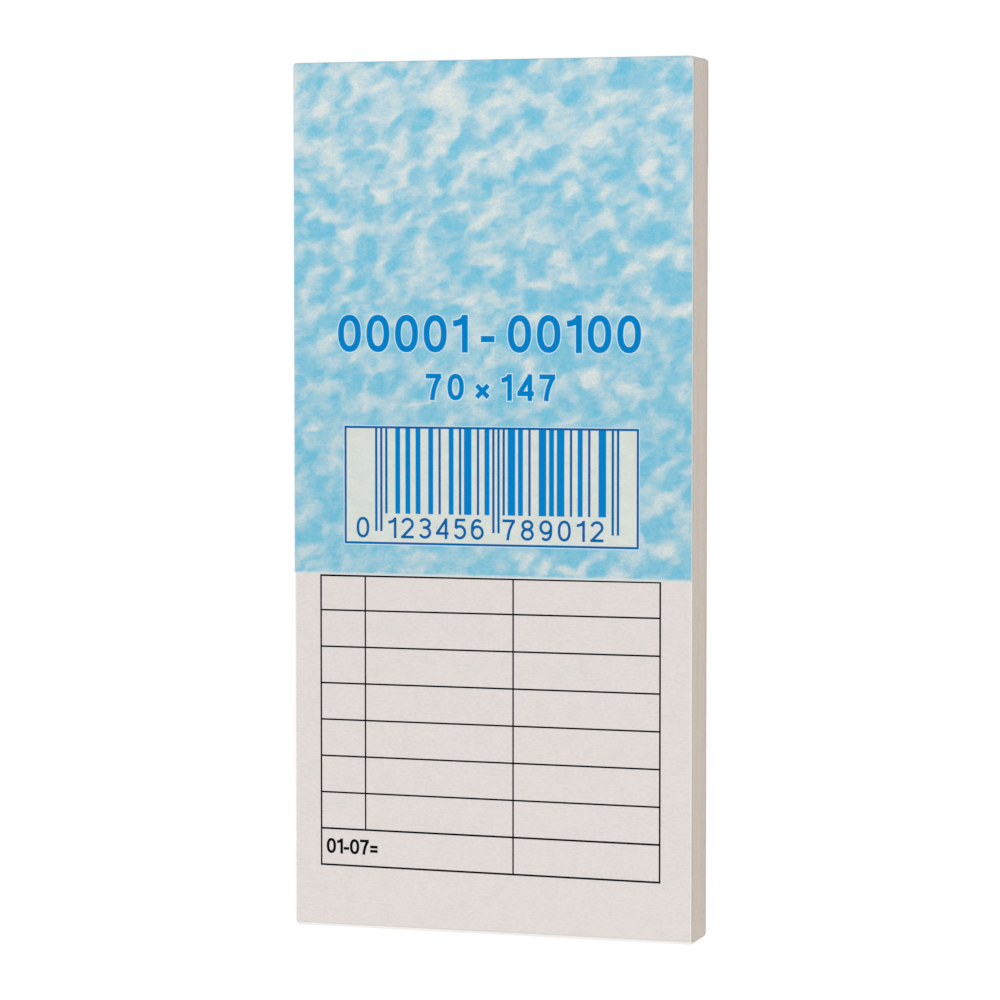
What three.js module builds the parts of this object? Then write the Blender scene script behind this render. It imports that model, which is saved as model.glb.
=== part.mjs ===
// Order pad: a hundred thin leaves padded with glue along the head, on a back board, with a paper cover.
// The pad lies on its back. X runs across it, +Y goes to the head, where it is bound, and +Z is up,
// out of its front. The origin is the middle of its underside. Sizes are in millimetres.
import * as THREE from 'three';

// Overall size of the pad, cover and board included
const padWidth = 70;
const padLength = 147;

// Back board
const boardThickness = 1;

// Leaves: the paper, and the air that loosely stacked leaves keep between them
const leafCount = 100;
const leafThickness = 0.08;
const leafAirGap = 0.005;

// The leaves that are solids of their own, counted from the front. The others are one solid block.
const looseLeafCount = 50;

// The first leaves are each made as a stub and a slip, which part at the perforation
const tearingLeafCount = 3;
const stubLength = 12;
const perforationPitch = 2;
const perforationTieWidth = 0.6;
const perforationCutWidth = 0.4;

// Cover paper: the flap on the front, the panel over the head and the strip turned in on the back
const coverThickness = 0.25;
const flapLength = 87;
const turnInLength = 18;
const creaseRadius = 0.22;

// Padding glue on the head of the leaves and the board
const glueThickness = 0.2;

// Clearance between faces that lie on each other
const seatGap = 0.005;

// Colours of the materials, as they show in daylight
const newsprintColour = 0xe0d9d5;
const marbledBlueColour = 0x8cc4de;
const greyboardColour = 0xb9aa98;
const glueColour = 0xe6e2d2;

// Heights above the underside, from the board up to the flap
const leafPitch = leafThickness + leafAirGap;
const leavesBottom = boardThickness + seatGap;
const leavesTop = leavesBottom + leafCount * leafPitch - leafAirGap;
const flapBottom = leavesTop + seatGap;
const flapTop = flapBottom + coverThickness;

// Places along the pad, from the foot to the outside of the spine panel
const footY = -padLength / 2;
const spineOuterY = padLength / 2;
const spineInnerY = spineOuterY - coverThickness;
const glueOuterY = spineInnerY - seatGap;
const glueInnerY = glueOuterY - glueThickness;
const leafHeadY = glueInnerY - seatGap;
const perforationY = leafHeadY - stubLength;
const flapFootY = spineOuterY - flapLength;
const turnInFootY = spineOuterY - turnInLength;
const spineTop = flapBottom - seatGap;
const turnInTop = coverThickness;
const rebateTop = turnInTop + seatGap;

function paper(colour, roughness) {
  return new THREE.MeshStandardMaterial({ color: colour, roughness, metalness: 0 });
}

const newsprint = paper(newsprintColour, 0.95);
const marbledPaper = paper(marbledBlueColour, 0.7);
const greyboard = paper(greyboardColour, 0.9);
const paddingGlue = paper(glueColour, 0.45);

function named(name, geometry, material) {
  const mesh = new THREE.Mesh(geometry, material);
  mesh.name = name;
  return mesh;
}

// A flat sheet with a straight cut on all four sides, lying between two heights
function sheetGeometry(fromY, toY, bottom, top) {
  const geometry = new THREE.BoxGeometry(padWidth, toY - fromY, top - bottom);
  geometry.translate(0, (fromY + toY) / 2, (bottom + top) / 2);
  return geometry;
}

// A section drawn in Y and Z and carried across the whole width of the pad
function acrossGeometry(section) {
  const geometry = new THREE.ExtrudeGeometry(section, { depth: padWidth, bevelEnabled: false, curveSegments: 6 });
  const sectionToPad = new THREE.Matrix4().makeBasis(
    new THREE.Vector3(0, 1, 0),
    new THREE.Vector3(0, 0, 1),
    new THREE.Vector3(1, 0, 0),
  );
  geometry.applyMatrix4(sectionToPad);
  geometry.translate(-padWidth / 2, 0, 0);
  return geometry;
}

// Back board, pressed thinner under the strip of cover paper that is turned in on it
function backBoard() {
  const section = new THREE.Shape();
  section.moveTo(footY, 0);
  section.lineTo(turnInFootY - seatGap, 0);
  section.lineTo(turnInFootY - seatGap, rebateTop);
  section.lineTo(leafHeadY, rebateTop);
  section.lineTo(leafHeadY, boardThickness);
  section.lineTo(footY, boardThickness);
  section.closePath();
  return named('back_board', acrossGeometry(section), greyboard);
}

// Film of padding glue, which holds the head edges of the board and of every leaf
function headGlue() {
  return named('head_glue', sheetGeometry(glueInnerY, glueOuterY, rebateTop, spineTop), paddingGlue);
}

// Cover paper over the head: the spine panel, and the strip turned in under the board
function coverHeadWrap() {
  const section = new THREE.Shape();
  section.moveTo(turnInFootY, 0);
  section.lineTo(spineOuterY - creaseRadius, 0);
  section.absarc(spineOuterY - creaseRadius, creaseRadius, creaseRadius, -Math.PI / 2, 0, false);
  section.lineTo(spineOuterY, spineTop);
  section.lineTo(spineInnerY, spineTop);
  section.lineTo(spineInnerY, turnInTop);
  section.lineTo(turnInFootY, turnInTop);
  section.closePath();
  return named('cover_head_wrap', acrossGeometry(section), marbledPaper);
}

// Cover paper on the front, which lifts along the crease on its head edge
function coverFlap() {
  const section = new THREE.Shape();
  section.moveTo(flapFootY, flapBottom);
  section.lineTo(spineOuterY, flapBottom);
  section.lineTo(spineOuterY, flapTop - creaseRadius);
  section.absarc(spineOuterY - creaseRadius, flapTop - creaseRadius, creaseRadius, 0, Math.PI / 2, false);
  section.lineTo(flapFootY, flapTop);
  section.closePath();
  return named('cover_flap', acrossGeometry(section), marbledPaper);
}

// Lower part of a tearing leaf. Paper ties stand on its head edge, between the cuts of the perforation.
function slipGeometry(bottom) {
  const tieCount = Math.floor((padWidth - perforationTieWidth) / perforationPitch);
  const firstTieX = -((tieCount - 1) * perforationPitch) / 2;
  const cutFootY = perforationY - perforationCutWidth;
  const outline = new THREE.Shape();
  outline.moveTo(-padWidth / 2, footY);
  outline.lineTo(padWidth / 2, footY);
  outline.lineTo(padWidth / 2, cutFootY);
  for (let tie = tieCount - 1; tie >= 0; tie -= 1) {
    const tieX = firstTieX + tie * perforationPitch;
    outline.lineTo(tieX + perforationTieWidth / 2, cutFootY);
    outline.lineTo(tieX + perforationTieWidth / 2, perforationY - seatGap);
    outline.lineTo(tieX - perforationTieWidth / 2, perforationY - seatGap);
    outline.lineTo(tieX - perforationTieWidth / 2, cutFootY);
  }
  outline.lineTo(-padWidth / 2, cutFootY);
  outline.closePath();
  const geometry = new THREE.ExtrudeGeometry(outline, { depth: leafThickness, bevelEnabled: false });
  geometry.translate(0, 0, bottom);
  return geometry;
}

function leafBottom(number) {
  return leavesTop - leafThickness - (number - 1) * leafPitch;
}

function leafName(number) {
  return 'leaf_' + String(number).padStart(3, '0');
}

// One leaf: a stub and a slip where it is made to tear, or else one whole sheet
function leaf(number) {
  const bottom = leafBottom(number);
  const top = bottom + leafThickness;
  if (number > tearingLeafCount) {
    return [named(leafName(number), sheetGeometry(footY, leafHeadY, bottom, top), newsprint)];
  }
  return [
    named(leafName(number) + '_stub', sheetGeometry(perforationY, leafHeadY, bottom, top), newsprint),
    named(leafName(number) + '_slip', slipGeometry(bottom), newsprint),
  ];
}

// The leaves below the loose ones, as one block with their air between them
function lowerLeaves() {
  const top = leafBottom(looseLeafCount) - leafAirGap;
  return named('lower_leaves', sheetGeometry(footY, leafHeadY, leavesBottom, top), newsprint);
}

const orderPad = new THREE.Group();
orderPad.add(backBoard(), headGlue(), coverHeadWrap(), coverFlap());
for (let number = 1; number <= looseLeafCount; number += 1) {
  orderPad.add(...leaf(number));
}
orderPad.add(lowerLeaves());

export default orderPad;
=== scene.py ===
# Looks of a glue-bound order pad that lies on its back board. Lengths are in metres, unless a name
# ends in _mm. X runs across the pad, +Y goes to its bound head and +Z comes out of its front.
import math
import random
from collections import namedtuple

import bmesh
import bpy
from mathutils import Matrix, Vector
from mathutils.geometry import delaunay_2d_cdt

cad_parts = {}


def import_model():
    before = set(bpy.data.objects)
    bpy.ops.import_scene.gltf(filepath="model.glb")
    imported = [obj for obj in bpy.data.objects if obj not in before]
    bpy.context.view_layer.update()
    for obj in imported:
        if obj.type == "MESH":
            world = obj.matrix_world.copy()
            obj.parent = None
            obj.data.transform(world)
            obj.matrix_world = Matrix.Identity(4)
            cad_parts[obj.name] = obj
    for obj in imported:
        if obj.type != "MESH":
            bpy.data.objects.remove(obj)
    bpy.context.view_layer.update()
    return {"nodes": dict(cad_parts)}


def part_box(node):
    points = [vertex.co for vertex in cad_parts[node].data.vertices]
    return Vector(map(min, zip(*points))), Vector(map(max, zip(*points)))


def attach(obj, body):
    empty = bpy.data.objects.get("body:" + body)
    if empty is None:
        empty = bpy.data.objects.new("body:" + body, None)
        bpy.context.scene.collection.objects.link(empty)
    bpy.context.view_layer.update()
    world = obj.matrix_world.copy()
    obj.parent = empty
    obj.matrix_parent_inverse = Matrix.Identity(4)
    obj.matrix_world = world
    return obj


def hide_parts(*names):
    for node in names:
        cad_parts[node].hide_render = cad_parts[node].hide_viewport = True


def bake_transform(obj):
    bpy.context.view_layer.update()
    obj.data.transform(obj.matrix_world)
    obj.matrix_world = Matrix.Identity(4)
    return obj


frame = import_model()

MM = 0.001

# Leaves that are made to tear, counted from the front, with the bodies of their slips and stubs
TEARING_LEAVES = ((1, "top_slip", "top_leaf"), (2, "second_slip", "root"), (3, "third_slip", "root"))
FIRST_WHOLE_LEAF = len(TEARING_LEAVES) + 1


def leaf_node(number, part=""):
    """The name of a leaf's node, or of the node of its slip or stub."""
    return f"leaf_{number:03d}{part}"


# Places that the frame gives
FLAP_LOW, FLAP_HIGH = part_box("cover_flap")
WRAP_LOW, WRAP_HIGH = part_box("cover_head_wrap")
GLUE_LOW, GLUE_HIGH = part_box("head_glue")
BOARD_LOW, BOARD_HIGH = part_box("back_board")
LEAF_LOW, LEAF_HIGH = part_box(leaf_node(FIRST_WHOLE_LEAF))
NEXT_LEAF_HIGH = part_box(leaf_node(FIRST_WHOLE_LEAF + 1))[1]
FRONT_LEAF_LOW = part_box(leaf_node(1, "_slip"))[0]
STACK_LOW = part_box("lower_leaves")[0]
HALF_WIDTH = BOARD_HIGH.x
FOOT_Y = BOARD_LOW.y
LEAF_HEAD_Y = LEAF_HIGH.y
PAD_TOP = FLAP_HIGH.z
COVER_THICKNESS = FLAP_HIGH.z - FLAP_LOW.z
LEAF_THICKNESS = LEAF_HIGH.z - LEAF_LOW.z
LEAF_PITCH = LEAF_HIGH.z - NEXT_LEAF_HIGH.z
LEAF_COUNT = FIRST_WHOLE_LEAF - 1 + round((LEAF_HIGH.z - STACK_LOW.z) / LEAF_PITCH)

# How trimming, gluing and handling have left the pad
CORNER_RADIUS = 0.45 * MM
HEAD_RADIUS = 0.06 * MM
STUB_CORNER_RADIUS = 0.1 * MM
BOARD_CORNER_RADIUS = 0.6 * MM
BOARD_CHAMFER = 0.14 * MM
BOARD_STEP_LENGTH = 0.001 * MM
COVER_CORNER_RADIUS = 0.65 * MM
CREASE_RADIUS = 0.22 * MM
BACK_CORNER_DEPTH = 0.4 * MM
BACK_CORNER_HEIGHT = 1.3 * MM
FOOT_RECESS = 0.55 * MM
FLAP_FOOT_TRIM = 0.35 * MM
SIDE_RECESS = 0.04 * MM
RECESS_DEPTH = 0.25 * MM
SIDE_DRIFT = 0.03 * MM
FOOT_DRIFT = 0.05 * MM
FOOT_LIFT = 0.09 * MM
WAVE_HEIGHT = 0.02 * MM
LIFT_DEPTH = 1.3 * MM
TIE_PITCH = 2 * MM
TIE_WIDTH = 0.6 * MM
TIE_LENGTH = 0.4 * MM
LAST_LOOSE_LEAF = 12
LEAF_SEED = 7

# How finely the sheets are cut into faces
SHEET_CELL = 2.5 * MM
LEAF_CELL = 7 * MM
STUB_CELL = 1 * MM
PROFILE_STEPS = 10
SMOOTH_DEGREES = 35

# Ink and the ruled table, measured on the front of the pad
INK_CLEARANCE = 0.006 * MM
INK_THICKNESS = 0.004 * MM
INK_LAYER_PITCH = 0.006 * MM
PRINT_CELL = 2 * MM
TABLE_LEFT = -30.28 * MM
TABLE_RIGHT = 29.51 * MM
TABLE_FOOT_Y = -63.03 * MM
TABLE_ROW = 6.26 * MM
TABLE_ROWS = 7
TABLE_HEAD_ROW = 5.92 * MM
TABLE_HEAVY_LINE = 0.32 * MM
TABLE_LINE = 0.285 * MM
TABLE_FINE_LINE = 0.26 * MM
TABLE_HEAD_SKEW = -0.0014
TABLE_FOOT_SKEW = 0.0076
FIRST_COLUMN_X = -22.3 * MM
SECOND_COLUMN_X = 3.98 * MM
HEADER_FOOT_Y = 2 * MM
HEADER_ROW = 9 * MM
HEADER_ROWS = 5

# The panel of bars, whose widths are counted in modules
PANEL_HALF_WIDTH = 25.7 * MM
PANEL_FOOT_Y = -7.62 * MM
PANEL_HEAD_Y = 11.97 * MM
PANEL_LINE = 0.38 * MM
PANEL_OUTLINE = 0.35 * MM
BARS_LEFT = -20.4 * MM
BAR_MODULE = 0.452 * MM
INKED_SHARE = 0.91
SHORT_BAR_FOOT_Y = -2.6 * MM
LONG_BAR_FOOT_Y = -5.6 * MM
HALF_MODULES = 42
PAIR_MODULES = 4
BAR_WIDTHS = (1, 1, 1, 2, 2, 3)
BAR_GAPS = (1, 1, 2, 2, 3)
BAR_SEED = 2307

# Rows of figures. The weight of their strokes is a share of their cap height.
FigureRow = namedtuple("FigureRow", "figures cap_height centre width weight")
COUNT_FIGURES = FigureRow("00001 - 00100", 6.3 * MM, (-0.4 * MM, 27.8 * MM), 53.2 * MM, 0.165)
SIZE_FIGURES = FigureRow("70 x 147", 4.45 * MM, (0.1 * MM, 18.85 * MM), 22.9 * MM, 0.18)
SUM_FIGURES = FigureRow("01-07=", 2.6 * MM, (-24.75 * MM, -59.75 * MM), 9.2 * MM, 0.18)
SLIP_FIGURES = FigureRow("0000", 4 * MM, (22 * MM, 50 * MM), 12 * MM, 0.15)
PANEL_FIGURES = (
    FigureRow("0", 3.5 * MM, (-22.6 * MM, -5.0 * MM), 2.1 * MM, 0.132),
    FigureRow("123456", 3.5 * MM, (-9.6 * MM, -5.0 * MM), 17.0 * MM, 0.132),
    FigureRow("789012", 3.5 * MM, (11.0 * MM, -5.0 * MM), 17.6 * MM, 0.132),
)
FIGURE_OUTLINE = 0.19 * MM

# Widths of the figures, as shares of their cap height
NARROW_FIGURES = {"1": 0.43, "-": 0.38, "=": 0.52, "x": 0.50, " ": 0.05}
FIGURE_WIDTH = 0.65

# Colours as they are seen, in sRGB from 0 to 255
NEWSPRINT = (227, 219, 216)
NEWSPRINT_GREEN = (222, 217, 212)
# Painted shade along the top sheet's foot, standing in for the shadow under its lifted edge
TOP_SHEET_PAINTED_FOOT_SHADE = (212, 205, 201)
# Painted highlight along the top sheet's cut edges, standing in for light caught on their rounded edge
TOP_SHEET_PAINTED_HIGHLIGHT = (242, 234, 229)
# Painted highlight along the lower leaves' cut edges, standing in for light caught on the fanned lip at the
# foot
LOWER_LEAVES_PAINTED_HIGHLIGHT = (243, 240, 238)
LEAF_EDGE = (206, 194, 181)
LEAF_EDGE_DARK = (198, 186, 172)
MARBLE_BLUE = (109, 193, 220)
MARBLE_PALE = (226, 231, 228)
MARBLE_CLOUD = (196, 214, 216)
RUBBED_PRINT = (202, 217, 219)
CREASED_PRINT = (196, 186, 176)
FADED_PRINT = (214, 218, 216)
COVER_PAPER = (228, 223, 217)
COVER_PAPER_CLOUD = (221, 216, 211)
CUT_COVER = (222, 217, 209)
CUT_COVER_CLOUD = (208, 204, 196)
SOAKED_PAPER = (184, 171, 158)
SOAKED_PAPER_CLOUD = (158, 144, 130)
GREYBOARD = (190, 180, 163)
GREYBOARD_CLOUD = (170, 161, 146)
GREYBOARD_FLECK = (120, 112, 104)
# Paler cut edges of the board: scuffing, and painted light that lifts the shade on its sides
GREYBOARD_EDGE_WEAR_AND_LIGHT = (208, 198, 184)
GLUE = (206, 195, 181)
THIN_GLUE = (190, 178, 164)
PANEL_PALE = (218, 224, 217)
PANEL_CLOUD = (211, 219, 211)
PRINT_BLUE = (0, 127, 198)
STARVED_BLUE = (30, 138, 206)
PRINT_DARK_BLUE = (5, 98, 166)
STARVED_DARK_BLUE = (34, 114, 182)
PRINT_BLACK = (12, 12, 15)
STARVED_BLACK = (50, 48, 50)
OUTLINE_PALE = (196, 224, 234)
STARVED_PALE = (206, 226, 230)

# Studio, with linear colours
FLOOR_REACH = 4.0
FLOOR_LEVEL = -0.05 * MM
FLOOR_LIT = (0.85, 0.85, 0.85, 1)
FLOOR_SHADOW = (0.10, 0.10, 0.10, 1)
FLOOR_GLOW = 0.94
TRAPPED_RAY = 0.3 * MM
WHITE = (1, 1, 1, 1)
SKY_STRENGTH = 0.52
LAMPS = (
    ("key_light", (-0.3, -0.4, 1.1), 0.9, 6.2),
    ("side_light", (1.0, -0.05, 0.6), 0.8, 4.2),
)
CAMERA_PLACE = Vector((0.1985, 0.03497, 0.62921))
CAMERA_TARGET = Vector((-0.00135, -0.00055, 0))
LENS_mm = 139.94
SENSOR_mm = 36


def seen(colour):
    """The linear colour of one that is given as it is seen."""
    linear = []
    for part in colour:
        share = part / 255
        linear.append(share / 12.92 if share <= 0.04045 else ((share + 0.055) / 1.055) ** 2.4)
    return (*linear, 1.0)


# Node helpers
def node(tree, kind, inputs=None, **settings):
    """A new node with its settings, and its inputs set to values or linked to other nodes' outputs."""
    made = tree.nodes.new(kind)
    for name, value in settings.items():
        setattr(made, name, value)
    for key, value in (inputs or {}).items():
        socket = made.inputs[key]
        if isinstance(value, bpy.types.NodeSocket):
            tree.links.new(value, socket)
        else:
            socket.default_value = value
    return made


def maths(tree, operation, *values):
    """The number that a Math node puts out."""
    return node(tree, "ShaderNodeMath", dict(enumerate(values)), operation=operation).outputs[0]


def vector_maths(tree, operation, vector, value):
    """The vector that a Vector Math node puts out. SCALE takes a number, the others a second vector."""
    key = 3 if operation == "SCALE" else 1
    return node(tree, "ShaderNodeVectorMath", {0: vector, key: value}, operation=operation).outputs[0]


def split(tree, vector):
    """The X, Y and Z of a vector."""
    return node(tree, "ShaderNodeSeparateXYZ", {0: vector}).outputs


def blended(tree, factor, first, second, mode="MIX"):
    """The colour that a Mix node puts out."""
    made = node(tree, "ShaderNodeMix", {0: factor, 6: first, 7: second}, data_type="RGBA", blend_type=mode)
    return made.outputs[2]


def grey(tree, tone):
    """The grey whose three parts are all one number."""
    return node(tree, "ShaderNodeCombineColor", {0: tone, 1: tone, 2: tone}).outputs[0]


def ramped(tree, value, low, high, to_low=0.0, to_high=1.0):
    """A value carried smoothly from one range to another."""
    ends = {"Value": value, "From Min": low, "From Max": high, "To Min": to_low, "To Max": to_high}
    return node(tree, "ShaderNodeMapRange", ends, interpolation_type="SMOOTHSTEP").outputs["Result"]


def noise_outputs(tree, vector, size_mm, detail, roughness=0.5):
    """The outputs of a noise whose lumps are about size_mm across, on a vector in millimetres."""
    given = isinstance(size_mm, bpy.types.NodeSocket)
    scale = maths(tree, "DIVIDE", 1.0, size_mm) if given else 1 / size_mm
    sockets = {"Vector": vector, "Scale": scale, "Detail": detail, "Roughness": roughness}
    return node(tree, "ShaderNodeTexNoise", sockets).outputs


def noise(tree, vector, size_mm, detail=2.0, roughness=0.5):
    return noise_outputs(tree, vector, size_mm, detail, roughness)["Fac"]


def stretched(tree, vector, scale, turn=0.0):
    """A vector turned about Z and then scaled along each axis."""
    sockets = {"Vector": vector, "Angle": turn}
    turned = node(tree, "ShaderNodeVectorRotate", sockets, rotation_type="Z_AXIS").outputs[0]
    return vector_maths(tree, "MULTIPLY", turned, scale)


def both_ways(tree, colour):
    """A noise's colour as a vector about zero."""
    return vector_maths(tree, "SUBTRACT", colour, (0.5, 0.5, 0.5))


def pushed_aside(tree, vector, size_mm, reach_mm):
    """A vector whose places a noise pushes aside, which feathers what is drawn on them."""
    push = noise_outputs(tree, vector, size_mm, 1.0)["Color"]
    return vector_maths(tree, "ADD", vector, vector_maths(tree, "SCALE", both_ways(tree, push), reach_mm))


def strokes(tree, vector, size_mm, width):
    """Soft lines that wander about: 0 along their middle and 1 away from them."""
    wandering = noise(tree, vector, size_mm, detail=0)
    away = maths(tree, "ABSOLUTE", maths(tree, "SUBTRACT", wandering, 0.5))
    return ramped(tree, away, 0.0, width)


FLOAT = "NodeSocketFloat"
COLOUR = "NodeSocketColor"
VECTOR = "NodeSocketVector"


def shader_group(name, inputs, outputs):
    """An empty shader group, and its input and output nodes. An input is given with its kind of
    socket, or with the number that it starts from."""
    tree = bpy.data.node_groups.new(name, "ShaderNodeTree")
    for label, start in inputs.items():
        is_kind = isinstance(start, str)
        kind = start if is_kind else FLOAT
        socket = tree.interface.new_socket(name=label, in_out="INPUT", socket_type=kind)
        if not is_kind:
            socket.default_value = start
    for label, kind in outputs.items():
        tree.interface.new_socket(name=label, in_out="OUTPUT", socket_type=kind)
    return tree, tree.nodes.new("NodeGroupInput").outputs, tree.nodes.new("NodeGroupOutput").inputs


# Effects that several materials share
def make_paper_grain():
    """Mottled pulp with fibres that lie along the web."""
    tree, given, out = shader_group(
        "paper_grain",
        {
            "Vector": VECTOR,
            "Colour": COLOUR,
            "Cloud Colour": COLOUR,
            "Cloud Size mm": 3.0,
            "Cloud Strength": 0.5,
            "Fibre Length mm": 1.2,
            "Fibre Strength": 0.06,
            "Pulp Size mm": 0.22,
        },
        {"Colour": COLOUR, "Height": FLOAT},
    )
    clouds = noise(tree, given["Vector"], given["Cloud Size mm"], detail=3, roughness=0.6)
    cloud_mask = maths(tree, "MULTIPLY", ramped(tree, clouds, 0.38, 0.62), given["Cloud Strength"])
    clouded = blended(tree, cloud_mask, given["Colour"], given["Cloud Colour"])
    lying = stretched(tree, given["Vector"], (1.0, 2.0, 1.0), 0.05)
    fibres = noise(tree, lying, given["Fibre Length mm"], detail=4, roughness=0.75)
    fibre_mask = ramped(tree, fibres, 0.35, 0.68)
    tone = maths(tree, "SUBTRACT", 1.0, maths(tree, "MULTIPLY", fibre_mask, given["Fibre Strength"]))
    tree.links.new(blended(tree, 1.0, clouded, grey(tree, tone), "MULTIPLY"), out["Colour"])
    pulp = noise(tree, given["Vector"], given["Pulp Size mm"])
    tree.links.new(maths(tree, "ADD", maths(tree, "MULTIPLY", fibre_mask, 0.6), pulp), out["Height"])
    return tree


def make_marbled_print():
    """Blue ink round soft pale tufts and strokes, most of them slanting, over pale paper. The ink
    grows heavier from the cover's head to its foot, and is speckled as screened print is."""
    tree, given, out = shader_group(
        "marbled_print",
        {
            "Vector": VECTOR,
            "Ink": COLOUR,
            "Paper": COLOUR,
            "Cloud Size mm": 5.2,
            "Stroke Size mm": 6.6,
            "Clump Size mm": 2.1,
            "Fleck Size mm": 0.45,
            "Ink Share": 0.545,
            "Share at Foot": 0.085,
            "Shade at Foot": 0.095,
            "Speckle Size mm": 0.38,
            "Speckle": 0.26,
            "Tint Speckle": 0.08,
        },
        {"Colour": COLOUR, "Ink Cover": FLOAT},
    )
    feathered = pushed_aside(tree, given["Vector"], 3.0, 2.6)
    slanting = stretched(tree, feathered, (0.82, 1.18, 1.0), math.radians(-25))
    combed = stretched(tree, feathered, (0.75, 1.20, 1.0), math.radians(-25))
    steep = stretched(tree, feathered, (0.85, 1.15, 1.0), math.radians(-75))
    layers = (
        (noise(tree, slanting, given["Cloud Size mm"], detail=1), 0.57),
        (strokes(tree, slanting, given["Stroke Size mm"], 0.22), 0.13),
        (strokes(tree, steep, given["Stroke Size mm"], 0.20), 0.09),
        (noise(tree, combed, given["Clump Size mm"], detail=1), 0.35),
        (noise(tree, combed, given["Fleck Size mm"], detail=2, roughness=0.6), 0.06),
    )
    place_y = split(tree, given["Vector"])["Y"]
    footward = ramped(tree, place_y, FLAP_LOW.y / MM, FLAP_HIGH.y / MM, 1.0, 0.0)
    level = maths(tree, "MULTIPLY_ADD", footward, given["Share at Foot"], given["Ink Share"])
    for layer, weight in layers:
        level = maths(tree, "MULTIPLY_ADD", maths(tree, "SUBTRACT", layer, 0.5), weight, level)
    cover = ramped(tree, level, 0.28, 0.72)
    marbled = blended(tree, cover, given["Paper"], given["Ink"])
    specks = noise_outputs(tree, given["Vector"], given["Speckle Size mm"], 1.0)
    shaded = maths(tree, "SUBTRACT", 1.0, maths(tree, "MULTIPLY", footward, given["Shade at Foot"]))
    tone = maths(tree, "MULTIPLY_ADD", maths(tree, "SUBTRACT", specks["Fac"], 0.5), given["Speckle"], shaded)
    tint = vector_maths(tree, "SCALE", both_ways(tree, specks["Color"]), given["Tint Speckle"])
    speckled = vector_maths(tree, "ADD", tint, grey(tree, tone))
    tree.links.new(blended(tree, 1.0, marbled, speckled, "MULTIPLY"), out["Colour"])
    tree.links.new(cover, out["Ink Cover"])
    return tree


def make_wear_and_light_edge():
    """A mask along a sheet's edge, for scuffing and for painted highlight and shade: full at the edge,
    ragged, and gone a little way in.
    """
    tree, given, out = shader_group(
        "wear_and_light_edge",
        {"Vector": VECTOR, "Distance mm": 10.0, "Width mm": 0.3, "Raggedness": 0.5, "Ragged Size mm": 0.8},
        {"Mask": FLOAT},
    )
    ragged_noise = noise(tree, given["Vector"], given["Ragged Size mm"], detail=4, roughness=0.7)
    ragged_offset = maths(tree, "SUBTRACT", ragged_noise, 0.5)
    reach = maths(tree, "MULTIPLY", ragged_offset, maths(tree, "MULTIPLY", given["Raggedness"], 3.0))
    share = maths(tree, "ADD", maths(tree, "DIVIDE", given["Distance mm"], given["Width mm"]), reach)
    tree.links.new(ramped(tree, share, 0.0, 1.0, 1.0, 0.0), out["Mask"])
    return tree


def make_cut_leaves():
    """The trimmed edges of many leaves: each has its own tone, gathers of them drift, the front ones are
    darker with painted shade, and the ones on the board are paler."""
    tree, given, out = shader_group(
        "cut_leaves",
        {
            "Vector": VECTOR,
            "Pale": COLOUR,
            "Dark": COLOUR,
            "Leaf Pitch mm": LEAF_PITCH / MM,
            "Leaf Contrast": 0.3,
            "Streak Contrast": 0.7,
            "Front mm": PAD_TOP / MM,
        },
        {"Colour": COLOUR, "Height": FLOAT},
    )
    height_mm = split(tree, given["Vector"])["Z"]
    number = maths(tree, "FLOOR", maths(tree, "DIVIDE", height_mm, given["Leaf Pitch mm"]))
    own_tone = node(tree, "ShaderNodeTexWhiteNoise", {"W": number}, noise_dimensions="1D").outputs["Value"]
    gathers = noise(tree, stretched(tree, given["Vector"], (0.012, 0.012, 1.6)), 1.0, detail=3, roughness=0.6)
    streaks = noise(tree, stretched(tree, given["Vector"], (0.14, 0.14, 6.0)), 1.0, detail=3)
    mixed = maths(tree, "ADD", maths(tree, "MULTIPLY", own_tone, given["Leaf Contrast"]), gathers)
    streaked = maths(tree, "MULTIPLY", maths(tree, "SUBTRACT", streaks, 0.5), given["Streak Contrast"])
    tone = maths(tree, "ADD", mixed, streaked)
    toned = blended(tree, ramped(tree, tone, 0.35, 1.0), given["Pale"], given["Dark"])
    depth_mm = maths(tree, "SUBTRACT", given["Front mm"], height_mm)
    # Painted shade on the front leaves' edges, under the cover and the top leaves
    painted_front_shade = ramped(tree, depth_mm, 0.3, 1.8, 0.86, 1.0)
    backed = ramped(tree, height_mm, 1.0, 2.2, 1.05, 1.0)
    shade = grey(tree, maths(tree, "MULTIPLY", painted_front_shade, backed))
    tree.links.new(blended(tree, 1.0, toned, shade, "MULTIPLY"), out["Colour"])
    tree.links.new(maths(tree, "ADD", own_tone, streaks), out["Height"])
    return tree


PAPER_GRAIN = make_paper_grain()
MARBLED_PRINT = make_marbled_print()
WEAR_AND_LIGHT_EDGE = make_wear_and_light_edge()
CUT_LEAVES = make_cut_leaves()


def group_node(tree, group, **inputs):
    """A group placed in a material, with its inputs named in words joined by underscores."""
    named = {key.replace("_", " "): value for key, value in inputs.items()}
    return node(tree, "ShaderNodeGroup", named, node_tree=group).outputs


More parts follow.
